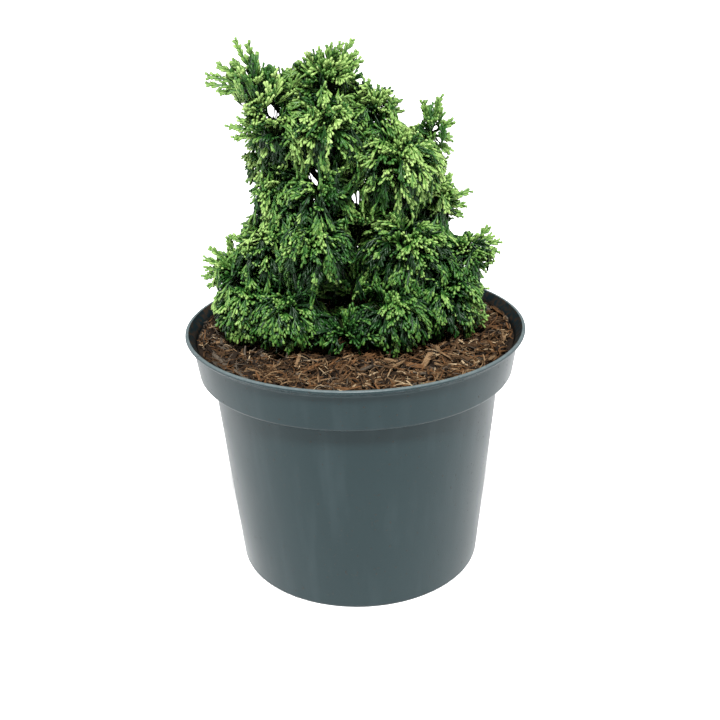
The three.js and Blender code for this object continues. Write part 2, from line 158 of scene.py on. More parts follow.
# what the modifiers make of a piece becomes its mesh
def applied(piece):
    bpy.context.view_layer.update()
    mesh = bpy.data.meshes.new_from_object(piece.evaluated_get(bpy.context.evaluated_depsgraph_get()))
    piece.modifiers.clear()
    piece.data = mesh
    return mesh


def readVectors(items, field):
    values = np.zeros(3 * len(items), np.float32)
    items.foreach_get(field, values)
    return values.reshape(-1, 3)


# rides on the one body, and hides the nodes that it replaces
def settle(piece, nodes):
    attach(piece, "root")
    if nodes:
        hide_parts(*nodes)


def unit(rows):
    return rows / (np.linalg.norm(rows, axis=-1, keepdims=True) + 1e-12)


# places on a bent line from start to end, and which way it runs there
def bentPlace(start, middle, end, t):
    return start * (1 - t) ** 2 + middle * 2 * t * (1 - t) + end * t * t


def bentHeading(start, middle, end, t):
    return unit((middle - start) * (1 - t) + (end - middle) * t)


# smooth random relief between -1 and 1 at each point, with hills about one grain apart
def relief(points, grain, seed):
    place = np.asarray(points, float) / grain
    cell = np.floor(place).astype(np.int64)
    inside = place - cell
    ease = inside * inside * (3 - 2 * inside)
    total = np.zeros(len(place))
    for corner in np.ndindex(2, 2, 2):
        at = cell + corner
        # large odd factors scatter the cells' values
        mixed = at[:, 0] * 73856093 ^ at[:, 1] * 19349663 ^ at[:, 2] * 83492791 ^ seed * 2654435761
        mixed = (mixed ^ (mixed >> 13)) * 1274126177 & 0xFFFFFFFF
        value = (mixed >> 8 & 0xFFFF) / 32767.5 - 1
        total += value * np.prod(np.where(corner, ease, 1 - ease), axis=1)
    return total


# the triangles of a tube of so many rings, each with so many corners
def tubePattern(rings, sides):
    pattern = []
    for ring in range(rings - 1):
        for corner in range(sides):
            a, b = ring * sides + corner, ring * sides + (corner + 1) % sides
            pattern += [(a, b, b + sides), (a, b + sides, a + sides)]
    return pattern


# the same faces over again for every copy, whose points follow each other
def copiedFaces(pattern, copies, pointsEach):
    faces = np.array(pattern)[None] + (np.arange(copies) * pointsEach)[:, None, None]
    return faces.reshape(-1, faces.shape[2])


# the surface swept by a profile of (radius, height) round the middle
def lathe(profile, segments):
    profile = np.asarray(profile, float)
    angle = np.arange(segments) * 2 * math.pi / segments
    ring = np.stack([np.cos(angle), np.sin(angle)], 1)
    rows = [np.column_stack([ring * radius, np.full(segments, height)]) for radius, height in profile]
    points = np.concatenate(rows)
    faces = []
    for row in range(len(profile) - 1):
        here = row * segments + np.arange(segments)
        after = row * segments + (np.arange(segments) + 1) % segments
        faces.append(np.stack([here, after, after + segments, here + segments], 1))
    return points, np.concatenate(faces)


# the plastic pot, by the source's sizes
pot = {
    "height": 143, "rimRadius": 95, "lipHeight": 1.7, "lipWidth": 1.9, "neckDrop": 2.7,
    "bandTopRadius": 91.4, "bandFootRadius": 88.6, "bandFootHeight": 118.5, "shoulderDrop": 1.6,
    "wallTopRadius": 81.4, "footRadius": 71, "wall": 1.8, "footRingWidth": 8,
    "floorBase": 3, "floor": 2.2, "drainHoles": 8, "drainRadius": 5, "drainCircle": 46, "segments": 144,
}

plastic = {
    "dark": rgb(0.0075, 0.0170, 0.0195), "light": rgb(0.0105, 0.0215, 0.0240),  # clouded over the wall
    "worn": rgb(0.030, 0.045, 0.050), "wear": 0.25,  # faint upright streaks
    "lip": rgb(0.105, 0.128, 0.132),  # painted highlight, paler on the lip's top, from the next height up, by so much a metre
    "lipFoot": 142.3, "lipRise": 1500,
    "speck": rgb(0.020, 0.014, 0.010), "speckShare": 0.8,
    # the inside: a darker copy of the plastic as painted shade, with real soil
    "insidePaintedShade": rgb(0.004, 0.009, 0.011), "insideSoil": rgb(0.020, 0.013, 0.008),
    "insideFacing": 0.35,  # how squarely a face looks inwards to take the inside's painted shade and soil
}


def potFinish():
    look = Finish("slatePlastic")
    cloud = look.noise(46, 3.0)
    streak = look.noise(9, 2.0, (1, 1, 0.12))
    lipMottle = look.noise(2.6, 3.0)
    specks = look.ramp(look.noise(1.5, 1.0), (0.0, 0.0), (0.72, 0.0), (0.75, 1.0))
    body = look.mix(cloud, plastic["dark"], plastic["light"])
    worn = look.mix(plastic["wear"] * look.ramp(streak, (0.5, 0.0), (0.8, 1.0)), body, plastic["worn"])
    height = look.node("ShaderNodeSeparateXYZ", sockets={0: look.place()}, output=2)
    # the lip's top painted paler as a highlight, mottled by noise
    lip = look.ramp((height - plastic["lipFoot"] * mm) * plastic["lipRise"], (0.0, 0.0), (1.0, 1.0))
    lipped = look.mix(lip * (0.35 + 0.7 * lipMottle), worn, plastic["lip"])
    color = look.mix(plastic["speckShare"] * specks, lipped, plastic["speck"])
    pimples = look.noise(0.9, 2.0) + 3.0 * specks
    return look.surface({
        "Base Color": color,
        "Roughness": 0.30 + 0.18 * cloud + 0.25 * specks,
        "Normal": look.bump(pimples, 0.03),
        "Specular IOR Level": 0.15,
    })


# inside, the wall is painted darker as shade, and soiled in patches
def potInsideFinish():
    look = Finish("slateInside")
    soiled = look.ramp(look.noise(3.2, 4.0), (0.44, 0.0), (0.62, 1.0))
    color = look.mix(soiled, plastic["insidePaintedShade"], plastic["insideSoil"])
    return look.surface({"Base Color": color, "Roughness": 0.5 + 0.3 * soiled, "Specular IOR Level": 0.1})


# the corners of a profile rounded off, each from so far before it to as far after it
def filleted(corners, steps=5):
    rounded = []
    for i, (radius, height, fillet) in enumerate(corners):
        here = np.array([radius, height], float)
        if fillet == 0:
            rounded.append(here)
            continue
        before = np.array(corners[i - 1][:2], float) - here
        after = np.array(corners[i + 1][:2], float) - here
        start = here + before / np.linalg.norm(before) * fillet
        end = here + after / np.linalg.norm(after) * fillet
        rounded += [bentPlace(start, here, end, share) for share in np.linspace(0, 1, steps + 1)]
    return rounded


def buildPot():
    top = pot["height"]
    shoulder = pot["bandFootHeight"] - pot["shoulderDrop"]
    ringInner = pot["footRadius"] - pot["footRingWidth"]
    wall = pot["wall"]
    neck = top - pot["lipHeight"] - pot["neckDrop"]
    outline = [  # radius, height and fillet
        (0.01, pot["floorBase"], 0),
        (ringInner, pot["floorBase"], 0.8),
        (ringInner + 1, 0, 0.5),
        (pot["footRadius"] - 1, 0, 0.4),
        (pot["footRadius"], 1.2, 0.4),
        (pot["wallTopRadius"], shoulder, 0.9),
        (pot["bandFootRadius"], pot["bandFootHeight"], 1.5),
        (pot["bandTopRadius"], neck, 0.8),
        (pot["rimRadius"] - 0.3, top - pot["lipHeight"], 0.2),
        (pot["rimRadius"], top - pot["lipHeight"] + 0.4, 0.25),
        (pot["rimRadius"], top - 0.5, 0.3),
        (pot["rimRadius"] - 0.5, top, 0.35),
        (pot["rimRadius"] - pot["lipWidth"], top, 0.4),
        (pot["bandTopRadius"] - wall, neck, 1.2),
        (pot["bandFootRadius"] - wall, pot["bandFootHeight"] + wall, 0.8),
        (pot["wallTopRadius"] - wall, shoulder + wall, 0.8),
        (pot["footRadius"] - wall, pot["floorBase"] + pot["floor"], 1.0),
        (0.01, pot["floorBase"] + pot["floor"], 0),
    ]
    points, faces = lathe(filleted(outline), pot["segments"])
    finishes = [potFinish(), potInsideFinish()]
    piece = newPiece("potShell", points, faces, finishes)
    cutter = bmesh.new()
    for i in range(pot["drainHoles"]):
        angle = i * 2 * math.pi / pot["drainHoles"]
        made = bmesh.ops.create_cone(
            cutter, cap_ends=True, segments=24, radius1=pot["drainRadius"] * mm,
            radius2=pot["drainRadius"] * mm, depth=4 * pot["floor"] * mm,
        )
        place = Vector((math.cos(angle), math.sin(angle), 0)) * pot["drainCircle"] * mm
        place.z = (pot["floorBase"] + pot["floor"] / 2) * mm
        bmesh.ops.translate(cutter, vec=place, verts=made["verts"])
    holes = bpy.data.meshes.new("drainCutter")
    cutter.to_mesh(holes)
    tool = linked("drainCutter", holes)
    cut = piece.modifiers.new("drains", "BOOLEAN")
    cut.operation = "DIFFERENCE"
    cut.solver = "EXACT"
    cut.object = tool
    result = applied(piece)
    result.materials.clear()
    for finish in finishes:
        result.materials.append(finish)
    centres = readVectors(result.polygons, "center") / mm
    facing = readVectors(result.polygons, "normal")
    inward = -np.sum(unit(centres[:, :2]) * facing[:, :2], axis=1)
    within = (inward > plastic["insideFacing"]) & (centres[:, 2] > pot["floorBase"] + pot["floor"])
    result.polygons.foreach_set("material_index", within.astype(np.int32))
    bpy.data.objects.remove(tool)
    settle(piece, ["pot"])
    print("pot built", len(result.polygons))


buildPot()


# the bark mulch, by the source's sizes
seat = 0.3  # the room between two solids
soil = {"top": 133.6, "bank": 4.6, "bankFoot": 60, "flat": 13, "wave": 1.2, "waveLength": 34}
trunkFoot = (0, 14)

mulch = {
    "edgeRadius": 88.8, "rings": 70, "segments": 220,
    "crumbHeight": 1.5, "crumbEdge": 6, "groundDrop": 1.2,  # crumbs fade towards the wall, under the shreds
    "kinds": (  # count, length, width, thickness, lift, pitch, bend, and shares of the six tones
        (3800, (4, 9), (0.3, 0.7), 0.35, (-0.3, 2.8), 0.55, 0.3, (0.14, 0.34, 0.24, 0.17, 0.07, 0.04)),
        (1150, (5, 12), (0.8, 1.6), 0.6, (-0.6, 2.2), 0.42, 0.2, (0.18, 0.38, 0.24, 0.12, 0.03, 0.05)),
        (180, (8, 19), (1.8, 3.2), 0.9, (-0.3, 2.2), 0.22, 0.1, (0.12, 0.36, 0.20, 0.20, 0.06, 0.06)),
    ),
    "twist": 0.9, "roll": 0.5, "taper": (0.25, 0.8), "wallRoom": 1.4, "overLip": 0.6,
    "shadedSide": (-40, -78),  # from where to where along X the shreds turn dark and grey
    "shadedTones": ((0, 1, 5), (0.4, 0.2, 0.4)),
    "seed": 41,
}

barkTones = [  # near-black painted shade of the gaps, peaty brown, red brown, tan, straw, grey
    ("mulchGapShade", rgb(0.005, 0.003, 0.002), rgb(0.015, 0.009, 0.005)),
    ("mulchBrown", rgb(0.020, 0.010, 0.004), rgb(0.058, 0.032, 0.015)),
    ("mulchRed", rgb(0.038, 0.017, 0.006), rgb(0.098, 0.048, 0.019)),
    ("mulchTan", rgb(0.075, 0.044, 0.021), rgb(0.165, 0.105, 0.055)),
    ("mulchStraw", rgb(0.150, 0.105, 0.058), rgb(0.310, 0.235, 0.145)),
    ("mulchGrey", rgb(0.030, 0.023, 0.016), rgb(0.075, 0.060, 0.045)),
]


def mulchFinish(name, low, high):
    look = Finish(name)
    grain = look.noise(0.8, 3.0)
    lump = look.noise(3.2, 2.0)
    color = look.mix(look.ramp(grain * 0.6 + lump * 0.4, (0.36, 0.0), (0.64, 1.0)), low, high)
    return look.surface({
        "Base Color": color,
        "Roughness": 0.75 + 0.2 * grain,
        "Specular IOR Level": 0.12,
        "Normal": look.bump(grain, 0.12),
    })


# the source's waved surface, level round the trunk and banked up to the wall
def mulchHeight(x, y):
    k = 2 * math.pi / soil["waveLength"]
    away = np.hypot(x - trunkFoot[0], y - trunkFoot[1])
    share = np.clip((away - soil["flat"]) / soil["flat"], 0, 1)
    share = share * share * (3 - 2 * share)
    rise = np.clip((np.hypot(x, y) - soil["bankFoot"]) / (pot["bandFootRadius"] - soil["bankFoot"]), 0, 1)
    bank = soil["bank"] * rise * rise * (3 - 2 * rise)
    return soil["top"] + bank + share * soil["wave"] * (np.sin(k * x + 0.7) * np.cos(k * y) - 0.35)


def buildSoil(finishes):
    wallGap = pot["wall"] + 2 * seat
    ledge = pot["bandFootHeight"] + pot["wall"] + seat
    sides = [
        (0.01, pot["floorBase"] + pot["floor"] + seat),
        (pot["footRadius"] - wallGap, pot["floorBase"] + pot["floor"] + seat),
        (pot["wallTopRadius"] - wallGap, ledge - pot["shoulderDrop"]),
        (pot["bandFootRadius"] - wallGap, ledge),
    ]
    inwards = 1 - np.arange(mulch["rings"] + 1) / mulch["rings"]
    levels = [(mulch["edgeRadius"] * share + 0.01, soil["top"]) for share in inwards]
    points, faces = lathe(sides + levels, mulch["segments"])
    upper = points[:, 2] > soil["top"] - 1
    x, y = points[upper, 0], points[upper, 1]
    crumbs = relief(points[upper], 5, 3) + 0.7 * relief(points[upper], 2.1, 4)
    edge = np.clip((mulch["edgeRadius"] - np.hypot(x, y)) / mulch["crumbEdge"], 0, 1)
    points[upper, 2] = mulchHeight(x, y) + mulch["crumbHeight"] * crumbs * edge - mulch["groundDrop"]
    # the soil under the shreds takes the first tone, near-black as painted shade in the gaps
    piece = newPiece("soilBody", points, faces, [finishes[0]])
    settle(piece, ["soil"])


# each shred is a bent, twisted splinter with square ends
def buildShreds(finishes):
    random = np.random.RandomState(mulch["seed"])
    stations = np.linspace(-0.5, 0.5, 5)
    allPoints, allTones, placed = [], [], 0
    for count, lengths, breadths, thickness, lifts, tip, curl, shares in mulch["kinds"]:
        radius = (mulch["edgeRadius"] - 1.5) * np.sqrt(random.rand(count))
        around = random.rand(count) * 2 * math.pi
        heading = random.rand(count) * math.pi
        length = random.uniform(*lengths, count)
        near = radius > mulch["edgeRadius"] - length * 0.55  # by the wall a shred lies along it
        heading = np.where(near, around + math.pi / 2 + random.normal(0, 0.12, count), heading)
        inset = mulch["wallRoom"] + np.where(near, length**2 / (8 * mulch["edgeRadius"]), 0)
        radius = np.minimum(radius, mulch["edgeRadius"] - inset)
        width = random.uniform(*breadths, count)
        pitch = random.normal(0, tip, count) * np.where(near, 0.6, 1)
        bend = random.normal(0, curl, count)
        twist = random.normal(0, mulch["twist"], count)
        roll = random.normal(0, mulch["roll"], count)
        x, y = radius * np.cos(around), radius * np.sin(around)
        z = mulchHeight(x, y) + random.uniform(*lifts, count)
        taper = random.uniform(*mulch["taper"], (count, 2))
        rows = []
        for station in stations:
            along = station * length
            sway = bend * length * (4 * station**2 - 0.5)
            px = x + along * np.cos(heading) - sway * np.sin(heading)
            py = y + along * np.sin(heading) + sway * np.cos(heading)
            pz = z + along * np.sin(pitch) - abs(bend) * length * 4 * station**2 * 0.3
            tilt = roll + twist * station
            end = np.where(station < 0, taper[:, 0], taper[:, 1])
            slim = 1 - (1 - end) * (2 * abs(station)) ** 2.5
            half = width / 2 * slim
            thin = thickness / 2 * (0.6 + 0.4 * slim)
            for across, over in ((1, 1), (-1, 1), (-1, -1), (1, -1)):
                side = across * half * np.cos(tilt) - over * thin * np.sin(tilt)
                lift = across * half * np.sin(tilt) + over * thin * np.cos(tilt)
                corner = [px - side * np.sin(heading), py + side * np.cos(heading), pz + lift]
                rows.append(np.stack(corner, 1))
        allPoints.append(np.stack(rows, 1).reshape(-1, 3))
        tones = random.choice(len(finishes), count, p=shares)
        dim = random.rand(count) * 1.6 < np.interp(-x, [-place for place in mulch["shadedSide"]], (0, 1))
        darker, darkerShares = mulch["shadedTones"]
        allTones.append(np.where(dim, random.choice(darker, count, p=darkerShares), tones))
        placed += count
    points = np.concatenate(allPoints)
    tones = np.concatenate(allTones)
    pattern = []
    for station in range(len(stations) - 1):
        for corner in range(4):
            after = (corner + 1) % 4
            low = station * 4
            pattern.append((low + corner, low + 4 + corner, low + 4 + after, low + after))
    pattern.append((0, 1, 2, 3))
    last = 4 * (len(stations) - 1)
    pattern.append((last + 3, last + 2, last + 1, last))
    faces = copiedFaces(pattern, placed, 4 * len(stations))
    reach = np.hypot(points[:, 0], points[:, 1])
    over = reach > mulch["edgeRadius"]
    points[over, :2] *= (mulch["edgeRadius"] / reach[over])[:, None]
    points[:, 2] = np.minimum(points[:, 2], pot["height"] + mulch["overLip"])
    piece = newPiece("mulchShreds", points, faces, finishes, np.repeat(tones, len(pattern)), smooth=False)
    settle(piece, [])
    print("mulch laid", placed)


mulchFinishes = [mulchFinish(*tone) for tone in barkTones]
buildSoil(mulchFinishes)
buildShreds(mulchFinishes)


# the bark of the trunk and boughs
bark = {
    "voxel": 0.55, "ridge": 0.45, "flake": 0.3, "drawn": 0.22,  # the ridges run up the stem, drawn out
    "dark": rgb(0.030, 0.018, 0.011), "light": rgb(0.130, 0.078, 0.047), "weathered": rgb(0.20, 0.165, 0.135),
}


def barkFinish():
    look = Finish("flakingBark")
    fibre = look.noise(1.3, 4.0, (1, 1, 0.16))
    patch = look.noise(7, 2.0)
    brown = look.mix(look.ramp(fibre, (0.35, 0.0), (0.68, 1.0)), bark["dark"], bark["light"])
    color = look.mix(0.5 * look.ramp(patch, (0.45, 0.0), (0.7, 1.0)), brown, bark["weathered"])
    return look.surface({
        "Base Color": color,
        "Roughness": 0.82 + 0.1 * fibre,
        "Normal": look.bump(fibre, 0.35),
    })


# some solids joined, meshed finely and lifted into ridges and flakes
def barkedPiece(name, nodes, material):
    joined = bmesh.new()
    for node in nodes:
        joined.from_mesh(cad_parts[node].data)
    mesh = bpy.data.meshes.new(name)
    joined.to_mesh(mesh)
    piece = linked(name, mesh)
    remesh = piece.modifiers.new("remesh", "REMESH")
    remesh.mode = "VOXEL"
    remesh.voxel_size = bark["voxel"] * mm
    fine = applied(piece)
    places = readVectors(fine.vertices, "co") / mm
    normals = readVectors(fine.vertices, "normal")
    drawn = places * (1, 1, bark["drawn"])
    lift = bark["ridge"] * relief(drawn, 1.6, 7) + bark["flake"] * relief(drawn * (1, 1, 2.0), 3.4, 8)
    level = np.clip((places[:, 2] - soil["top"] - seat) / 2, 0, 1)
    places += normals * ((lift - 0.1) * level)[:, None]
    fine.vertices.foreach_set("co", (places * mm).ravel())
    fine.materials.clear()
    fine.materials.append(material)
    fine.polygons.foreach_set("use_smooth", np.ones(len(fine.polygons), bool))
    fine.update()
    settle(piece, nodes)


barkMaterial = barkFinish()
boughNodes = sorted(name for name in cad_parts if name.endswith("_bough"))
barkedPiece("trunkBark", ["trunk"], barkMaterial)
barkedPiece("rightStemBark", ["right_stem"], barkMaterial)
barkedPiece("boughBark", boughNodes, barkMaterial)
print("bark laid on", len(boughNodes), "boughs")


# how the masses grow, by the source's sizes and its rule
foliage = {
    "patch": 600, "sprayWidth": 0.68, "edgeDroop": 0.16, "overreach": 1.06, "parting": 0.5, "ground": 1.4,
    "smallGap": 5, "fingerRoom": 0.7,  # gaps under the first size are kept wider, for a finger's thickness
}
reaches = (1, 0.92, 0.84, 0.76, 0.68)
widths = (1, 0.8, 0.6)
rib = {"foot": 0.1, "bendUpright": 0.6, "bendLevel": 0.92, "hub": 0.66, "root": 0.36}
teeth = ((20, 0.8), (46, 1), (67, 0.74), (94, 1), (150, 0.62))  # degrees from the tip, and reach

stemPlaces = {
    "trunk": [(0, 14, 133.9), (-1, 14, 150), (-5, 15, 175), (-10, 16, 200), (-14, 15, 226), (-13, 13, 262)],
    "right_stem": [(-1, 14, 150), (9, 14, 163), (22, 15, 186), (33, 17, 212), (43, 19, 238)],
}

# name, bearing stem, how far up it, middle, size, droop
massRows = [
    ("top_left", "trunk", 0.76, (-47, 5, 271), (19, 17, 21), -0.6),
    ("top_bridge", "trunk", 0.88, (-34, 21, 262.5), (17, 16, 15), 0.2),
    ("crown", "trunk", 1, (-12, 13, 271), (22, 18, 21), 0.1),
    ("left_shelf", "trunk", 0.62, (-39, 1, 248), (18, 18, 19), 0.6),
    ("upper_front", "trunk", 0.74, (-15, -6, 248), (21, 18, 23), 0.7),
    ("right_shoulder", "trunk", 0.84, (13, 18, 252), (20, 19, 20), 0.5),
    ("right_horn", "right_stem", 1, (43.5, 19, 243), (12, 13, 20), -0.3),
    ("right_mid", "right_stem", 0.7, (24, 0, 228), (27, 20, 24), 0.7),
    ("right_outer", "right_stem", 0.54, (45.5, 24, 202), (17, 20, 21), 0.7),
    ("left_flank", "trunk", 0.46, (-38.5, 6, 212), (18, 20, 22), 0.7),
    ("waist_front", "trunk", 0.52, (-18, -9, 217), (18, 16, 16), 0.5),
    ("front_left", "trunk", 0.34, (-20, -15, 187), (21, 19, 25), 0.8),
    ("left_side", "trunk", 0.3, (-45.5, 2, 184), (20, 21, 22.5), 0.7),
    ("left_tip", "trunk", 0.22, (-64, 5, 172), (17, 19, 16), 0.2),
    ("low_left", "trunk", 0.15, (-57, -3, 153), (23, 26, 22), 0.7),
    ("low_front_left", "trunk", 0.08, (-35, -18, 150), (21, 21, 22), 0.8),
    ("low_front", "trunk", 0.05, (-5, -21.5, 144), (20, 17, 13), 0.4),
    ("right_skirt", "right_stem", 0.36, (29, -3, 184), (28, 21, 21), 0.6),
    ("right_tip", "right_stem", 0.27, (61, 11, 176), (19, 20, 16), 0.4),
    ("low_front_right", "right_stem", 0.1, (20, -20, 151.5), (24, 21, 24), 0.9),
    ("low_right", "right_stem", 0.18, (50, -3, 153), (24, 23, 23), 0.8),
    ("heart", "trunk", 0.6, (-6, 42, 224), (25, 20, 24), 0.5),
    ("back_top", "trunk", 0.9, (-16, 42, 260), (25, 19, 21), 0.4),
    ("back_left_upper", "trunk", 0.52, (-41, 38, 226), (22, 20, 25), 0.6),
    ("back_right_upper", "right_stem", 0.78, (30, 42, 224), (23, 20, 26), 0.6),
    ("back_left", "trunk", 0.24, (-43, 44, 176), (26, 24, 30), 0.7),
    ("back_middle", "trunk", 0.28, (2, 52, 178), (26, 22, 32), 0.7),
    ("back_right", "right_stem", 0.34, (44, 46, 174), (27, 24, 30), 0.7),
]

# shaded growth close to the stems, in the room that the masses leave between them
innerRows = [
    ("lowCore", "trunk", 0.1, (-2, -2, 160), (26, 17, 24), 0.5),
    ("middleCore", "trunk", 0.35, (4, 4, 198), (34, 18, 26), 0.5),
    ("highCore", "trunk", 0.66, (-12, 12, 242), (34, 20, 24), 0.4),
    ("leftCore", "trunk", 0.25, (-36, 14, 166), (28, 20, 28), 0.5),
    ("rightCore", "right_stem", 0.3, (32, 14, 170), (28, 20, 26), 0.5),
]

# long shoots that stand out of a mass, seen from the front: which way, in degrees up from +X, and how
# far from the middle
leaders = {
    "top_left": (
        (114, 27), (101, 23.5), (132, 19.5), (149, 24.5), (165, 27.5), (174, 27.5), (184, 21), (93, 17),
    ),
    "top_bridge": ((90, 15), (114, 15), (66, 15)),
    "crown": ((58, 26.5), (46, 23), (35, 22), (69, 22.5), (84, 20), (102, 18), (125, 17.5), (143, 18)),
    "right_shoulder": ((100, 20.5), (65, 16), (19, 14.5)),
    "left_shelf": ((169, 25), (183, 22.5), (156, 20)),
    "right_horn": ((76, 20.5), (104, 17.5), (30, 13), (-12, 11), (-42, 14)),
    "right_outer": ((76, 28.5), (62, 20), (22, 22), (2, 17.5), (-18, 16.5)),
    "right_tip": ((50, 22), (36, 20), (23, 22), (10, 19.5), (-8, 17), (-28, 15)),
    "low_right": ((23, 24), (-20, 26), (-29, 25)),
    "left_tip": ((103, 20), (136, 20.5), (156, 20), (172, 18), (187, 19.5), (204, 19)),
    "left_side": ((156, 23),),
}

gapRows = [  # one end, other end, radius
    ((-18.5, -35, 233.3), (-23, 85, 207), 2.8),
    ((2.4, -35, 222.4), (3, 85, 193.4), 2.4),
    ((-36.9, -35, 266.3), (-46, 85, 248), 2.8),
    ((-34.5, -35, 296), (-42.5, 85, 285), 9),
    ((29, -35, 263.5), (36, 85, 244.5), 7),
    ((-65, -35, 299), (-81, 85, 289), 13),
    ((53, -35, 206), (66, 85, 173), 4.2),
    ((-59, -35, 250), (-74, 85, 228), 4),
    ((31.5, -35, 280), (38.5, 85, 265), 12.5),
    ((-59.5, -35, 267), (-73, 85, 249.5), 6),
    ((-12, -45, 173), (-13, -14, 161.5), 8),
    ((0, -45, 187), (0, -12, 174), 5),
    ((6, -45, 208), (6, -6, 196), 4.5),
    ((11, -45, 170), (10, -14, 160.5), 4),
]


# the same random draws as the source's
def seeded(seed):
    state = seed & 0xFFFFFFFF

    def draw():
        nonlocal state
        state = (state + 0x6D2B79F5) & 0xFFFFFFFF
        t = state
        t = ((t ^ (t >> 15)) * (t | 1)) & 0xFFFFFFFF
        t ^= (t + ((t ^ (t >> 7)) * (t | 61) & 0xFFFFFFFF)) & 0xFFFFFFFF
        return ((t ^ (t >> 14)) & 0xFFFFFFFF) / 4294967296

    return draw


class Mass:
    def __init__(self, index, row):
        self.index = index
        self.name, self.bearer, self.fork, middle, size, self.droop = row
        self.centre = np.array(middle, float)
        self.size = np.array(size, float)
        self.mean = self.size.mean()
        self.partings = []


masses = [Mass(i, row) for i, row in enumerate(massRows)]
cores = [Mass(len(massRows) + i, row) for i, row in enumerate(innerRows)]
massCentres = np.array([mass.centre for mass in masses + cores])
massSizes = np.array([mass.size for mass in masses + cores])
gapStarts = np.array([row[0] for row in gapRows], float)
gapEnds = np.array([row[1] for row in gapRows], float)
gapRadii = np.array([row[2] for row in gapRows], float)
gapRadii += np.where(gapRadii < foliage["smallGap"], foliage["fingerRoom"], 0)


# where two masses meet, each keeps to its own side of a plane between them
def findPartings():
    for mass in masses:
        for other in masses:
            if other is mass:
                continue
            line = other.centre - mass.centre
            distance = np.linalg.norm(line)
            normal = line / distance
            own = foliage["overreach"] * np.linalg.norm(normal * mass.size)
            theirs = foliage["overreach"] * np.linalg.norm(normal * other.size)
            if own + theirs >= distance:
                place = mass.centre + normal * (distance * own / (own + theirs) - foliage["parting"] / 2)
                mass.partings.append((normal, normal @ place))


# which points lie in one of the ways through the crown or into it
def inGap(points):
    line = gapEnds - gapStarts
    away = points[:, None] - gapStarts[None]
    along = np.clip((away * line).sum(2) / (line * line).sum(1), 0, 1)
    nearest = np.linalg.norm(away - along[..., None] * line, axis=2)
    return (nearest < gapRadii).any(1)


# which points keep over the mulch, and inside the pot where they are as low as its lip
def clearOfPot(points):
    inPot = np.hypot(points[:, 0], points[:, 1]) < pot["bandTopRadius"] - pot["wall"] - 1
    above = points[:, 2] >= mulchHeight(points[:, 0], points[:, 1]) + foliage["ground"]
    return above & ((points[:, 2] > pot["height"] + 1) | inPot)


# which points keep to a mass's own space
def inSpace(mass, points):
    ok = np.linalg.norm((points - mass.centre) / mass.size, axis=1) <= foliage["overreach"]
    for normal, offset in mass.partings:
        ok &= points @ normal <= offset
    return ok & clearOfPot(points) & ~inGap(points)


# which points lie in the space of any mass, where the finer sprays of neighbours mingle
def inCrown(points, overreach):
    away = (points[:, None] - massCentres[None]) / massSizes[None]
    return (np.linalg.norm(away, axis=2) <= overreach).any(1) & clearOfPot(points) & ~inGap(points)


# how hemmed in each point is: about 0.25 on a free outer face, twice that or more between two masses
def crowding(points):
    away = (points[:, None] - massCentres[None, :len(masses)]) / massSizes[None, :len(masses)]
    return np.exp(-1.5 * (away * away).sum(2)).sum(1)


# how much painted shade each point takes in the recesses between the masses
def recessed(points):
    places = np.array([place for place, radius in crown["recesses"]], float)
    radii = np.array([radius for place, radius in crown["recesses"]], float)
    away = np.linalg.norm(points[:, None] - places[None], axis=2) / radii
    return crown["recess"] * np.exp(-away * away).max(1)


goldenAngle = math.pi * (3 - math.sqrt(5))


# one spray for each patch of the surface, by the usual near formula for an ellipsoid's
def sprayCount(mass):
    a, b, c = mass.size
    p = 1.6
    mean = ((a * b) ** p + (a * c) ** p + (b * c) ** p) / 3
    return math.floor(4 * math.pi * mean ** (1 / p) / foliage["patch"] + 0.5)


def spraysOf(mass, count, seed):
    random = seeded(seed)
    sprays = []
    for i in range(count):
        turn = i * goldenAngle + mass.index + 0.5 * (random() - 0.5)
        height = 1 - (2 * i + 1) / count + 0.12 * (random() - 0.5)
        level = math.sqrt(max(0, 1 - height * height))
        direction = unit(np.array([level * math.cos(turn), level * math.sin(turn), height]))
        reach = 0.95 + 0.08 * random()
        width = foliage["sprayWidth"] * mass.mean * (0.85 + 0.3 * random())
        roll = 0.5 * (random() - 0.5)
        sprays.append((direction, reach, width, roll))
    return sprays


# the bent line that a spray stands on, as narrow and short as it takes to fit
class Rib:
    def __init__(self, mass, spray, shrink, narrow):
        direction, reach, width, roll = spray
        raised = unit(direction + np.array([0, 0, mass.droop]))
        level = math.hypot(direction[0], direction[1])
        bend = rib["bendUpright"] + (rib["bendLevel"] - rib["bendUpright"]) * level
        self.start = mass.centre + direction * mass.size * rib["foot"]
        self.middle = mass.centre + raised * mass.size * bend * shrink
        self.end = mass.centre + direction * mass.size * reach * shrink
        outward = unit((self.at(rib["hub"]) - mass.centre) / mass.size**2)
        along = self.heading(rib["hub"])
        side = unit(np.cross(along, outward))
        self.side = side * math.cos(roll) + np.cross(along, side) * math.sin(roll)
        self.width = width * shrink * narrow
        self.droop = foliage["edgeDroop"] * mass.mean

    def at(self, t):
        return bentPlace(self.start, self.middle, self.end, np.asarray(t, float)[..., None])

    def heading(self, t):
        return bentHeading(self.start, self.middle, self.end, np.asarray(t, float)[..., None])

    # places on the blade at angles from its tip and shares of its reach, with the way its face looks
    def blade(self, angle, reach):
        ahead = np.cos(angle)
        t = rib["hub"] + reach * ahead * np.where(ahead > 0, 1 - rib["hub"], rib["hub"] - rib["root"])
        normal = unit(np.cross(self.side, self.heading(t)))
        sideways = (np.sin(angle) * reach)[..., None]
        return self.at(t) + self.side * sideways * self.width - normal * self.droop * sideways**2, normal


toothAngles = np.radians([angle for angle, reach in teeth])
toothReaches = np.array([reach for angle, reach in teeth], float)
outlineAngles = np.concatenate([[0], toothAngles, -toothAngles])
outlineReaches = np.concatenate([[1], toothReaches, toothReaches])


